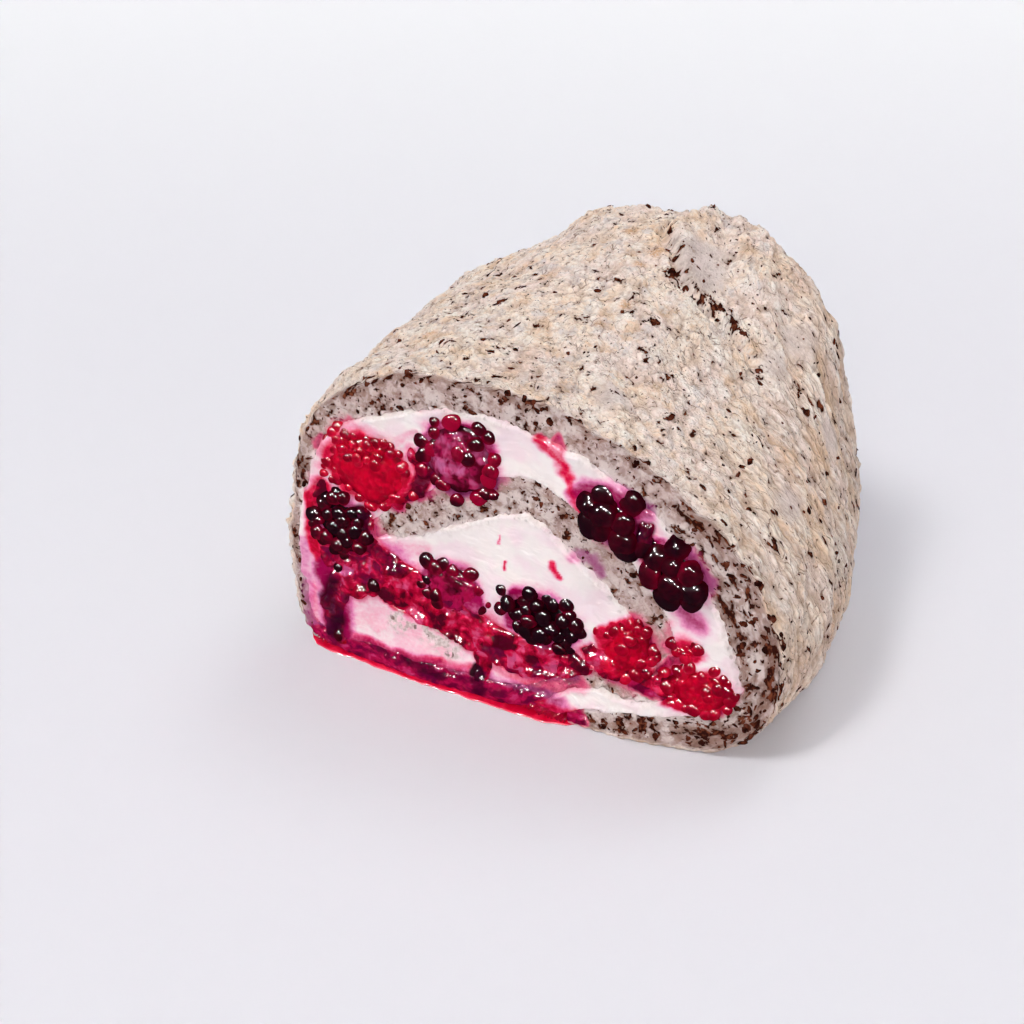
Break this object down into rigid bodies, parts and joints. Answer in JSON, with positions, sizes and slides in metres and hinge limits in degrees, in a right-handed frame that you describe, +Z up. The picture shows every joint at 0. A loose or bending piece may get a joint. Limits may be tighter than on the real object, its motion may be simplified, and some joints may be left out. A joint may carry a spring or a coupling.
{
  "type": "pavlova roulade slice",
  "caption": "Thick cut slice of rolled meringue dessert, flecked with chocolate and filled with whipped cream, crushed berries, raspberries and dark berries.",
  "frame": {"origin": "middle of the bounding box's base, on the surface the slice stands on", "axes": "+X across the cut faces towards the steep side, +Y along the roll from the front cut to the back cut, +Z up"},
  "size_m": [0.094, 0.0622, 0.0704],
  "materials": {
    "meringue": "dry, flaky soft meringue with chocolate flecks",
    "cream": "soft satin whipped cream",
    "crushed": "wet crushed berries in juice",
    "raspberry": "moist raspberry skin",
    "bramble": "glossy dark berry skin"
  },
  "bodies": {
    "root": {"meringue_sheet": "meringue", "crushed_berries": "crushed", "cream_filling": "cream", "raspberry_1": "raspberry", "raspberry_2": "raspberry", "raspberry_3": "raspberry", "raspberry_4": "raspberry", "bramble_1": "bramble", "bramble_2": "bramble", "bramble_3": "bramble", "bramble_4": "bramble", "bramble_5": "bramble", "bramble_6": "bramble", "back_raspberry_1": "raspberry", "back_raspberry_2": "raspberry", "back_raspberry_3": "raspberry", "back_bramble_1": "bramble", "back_bramble_2": "bramble", "back_bramble_3": "bramble"}
  },
  "joints": []
}
